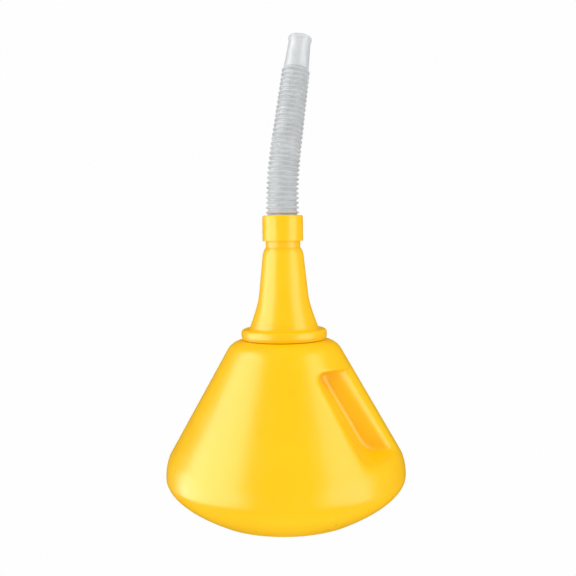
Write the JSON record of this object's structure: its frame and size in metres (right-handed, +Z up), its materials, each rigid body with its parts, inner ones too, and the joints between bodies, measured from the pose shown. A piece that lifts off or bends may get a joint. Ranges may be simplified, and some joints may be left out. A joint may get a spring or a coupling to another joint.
{
  "type": "funnel",
  "caption": "Hand funnel standing on its wide mouth: conical bowl with a pinch grip, push-in tapered spout with strainer, and a flexible corrugated hose on a screw collar.",
  "frame": {"origin": "centre of the bowl's mouth, on the plane of its rim, which is what the funnel stands on", "axes": "+Z up along the bowl's axis towards the hose, +X towards the pinch grip"},
  "size_m": [0.18, 0.18, 0.3601],
  "materials": {
    "bowl_plastic": "blow-moulded polyethylene, satin gloss, opaque yellow",
    "spout_plastic": "injection-moulded polyethylene, satin gloss, opaque yellow",
    "collar_plastic": "injection-moulded polyethylene, satin gloss, opaque yellow",
    "hose_plastic": "translucent frosted polyethylene",
    "seal_rubber": "matt black fuel-resistant rubber",
    "strainer_plastic": "natural white moulded plastic",
    "gauze_steel": "woven stainless wire"
  },
  "bodies": {
    "bowl": {"bowl": "bowl_plastic"},
    "spout": {"spout_taper": "spout_plastic", "throat_seal": "seal_rubber"},
    "strainer": {"strainer_frame": "strainer_plastic", "strainer_gauze": "gauze_steel"},
    "hose_seat": {"hose_washer": "seal_rubber"},
    "collar": {"collar_nut": "collar_plastic"},
    "hose_foot": {"hose_foot": "hose_plastic"},
    "hose_section_1": {"hose_section_1": "hose_plastic"},
    "hose_section_2": {"hose_section_2": "hose_plastic"},
    "hose_section_3": {"hose_section_3": "hose_plastic"},
    "hose_section_4": {"hose_section_4": "hose_plastic"},
    "hose_section_5": {"hose_section_5": "hose_plastic"},
    "hose_section_6": {"hose_section_6": "hose_plastic"},
    "hose_section_7": {"hose_section_7": "hose_plastic"},
    "hose_tip": {"hose_tip": "hose_plastic"}
  },
  "joints": [
    {"name": "spout_lift", "type": "slide", "parent": "bowl", "child": "spout", "axis": [0, 0, 1], "range_m": [0, 0.03]},
    {"name": "strainer_pull", "type": "slide", "parent": "spout", "child": "strainer", "axis": [0, 0, -1], "range_m": [0, 0.09]},
    {"name": "collar_turn", "type": "hinge", "parent": "hose_seat", "child": "collar", "pos_m": [0, 0, 0.2136], "axis": [0, 0, 1], "range_deg": [0, 900]},
    {"name": "hose_lift", "type": "slide", "parent": "spout", "child": "hose_seat", "axis": [0, 0, 1], "range_m": [0, 0.0101]},
    {"name": "hose_swivel", "type": "hinge", "parent": "hose_seat", "child": "hose_foot", "pos_m": [0, 0, 0.2233], "axis": [0, 0, 1], "continuous": true},
    {"name": "hose_bend_1", "type": "hinge", "parent": "hose_foot", "child": "hose_section_1", "pos_m": [0, 0, 0.23054], "axis": [-0.809, 0.5878, 0], "range_deg": [-10, 9]},
    {"name": "hose_bend_2", "type": "hinge", "parent": "hose_section_1", "child": "hose_section_2", "pos_m": [0.00034, 0.00046, 0.24501], "axis": [-0.809, 0.5878, 0], "range_deg": [-10, 9]},
    {"name": "hose_bend_3", "type": "hinge", "parent": "hose_section_2", "child": "hose_section_3", "pos_m": [0.00139, 0.00192, 0.25938], "axis": [-0.809, 0.5878, 0], "range_deg": [-10, 9]},
    {"name": "hose_bend_4", "type": "hinge", "parent": "hose_section_3", "child": "hose_section_4", "pos_m": [0.00314, 0.00433, 0.27355], "axis": [-0.809, 0.5878, 0], "range_deg": [-10, 9]},
    {"name": "hose_bend_5", "type": "hinge", "parent": "hose_section_4", "child": "hose_section_5", "pos_m": [0.00514, 0.00708, 0.28762], "axis": [-0.809, 0.5878, 0], "range_deg": [-10, 9]},
    {"name": "hose_bend_6", "type": "hinge", "parent": "hose_section_5", "child": "hose_section_6", "pos_m": [0.00715, 0.00983, 0.30169], "axis": [-0.809, 0.5878, 0], "range_deg": [-10, 9]},
    {"name": "hose_bend_7", "type": "hinge", "parent": "hose_section_6", "child": "hose_section_7", "pos_m": [0.00915, 0.01259, 0.31577], "axis": [-0.809, 0.5878, 0], "range_deg": [-10, 9]},
    {"name": "hose_bend_8", "type": "hinge", "parent": "hose_section_7", "child": "hose_tip", "pos_m": [0.01115, 0.01534, 0.32984], "axis": [-0.809, 0.5878, 0], "range_deg": [-10, 9]}
  ],
  "couplings": [
    {"joint": "hose_lift", "follows": "collar_turn", "m_per_rad": 0.00063662},
    {"joint": "hose_bend_2", "follows": "hose_bend_1", "ratio": 1},
    {"joint": "hose_bend_3", "follows": "hose_bend_1", "ratio": 1},
    {"joint": "hose_bend_4", "follows": "hose_bend_1", "ratio": 1},
    {"joint": "hose_bend_5", "follows": "hose_bend_1", "ratio": 1},
    {"joint": "hose_bend_6", "follows": "hose_bend_1", "ratio": 1},
    {"joint": "hose_bend_7", "follows": "hose_bend_1", "ratio": 1},
    {"joint": "hose_bend_8", "follows": "hose_bend_1", "ratio": 1}
  ]
}
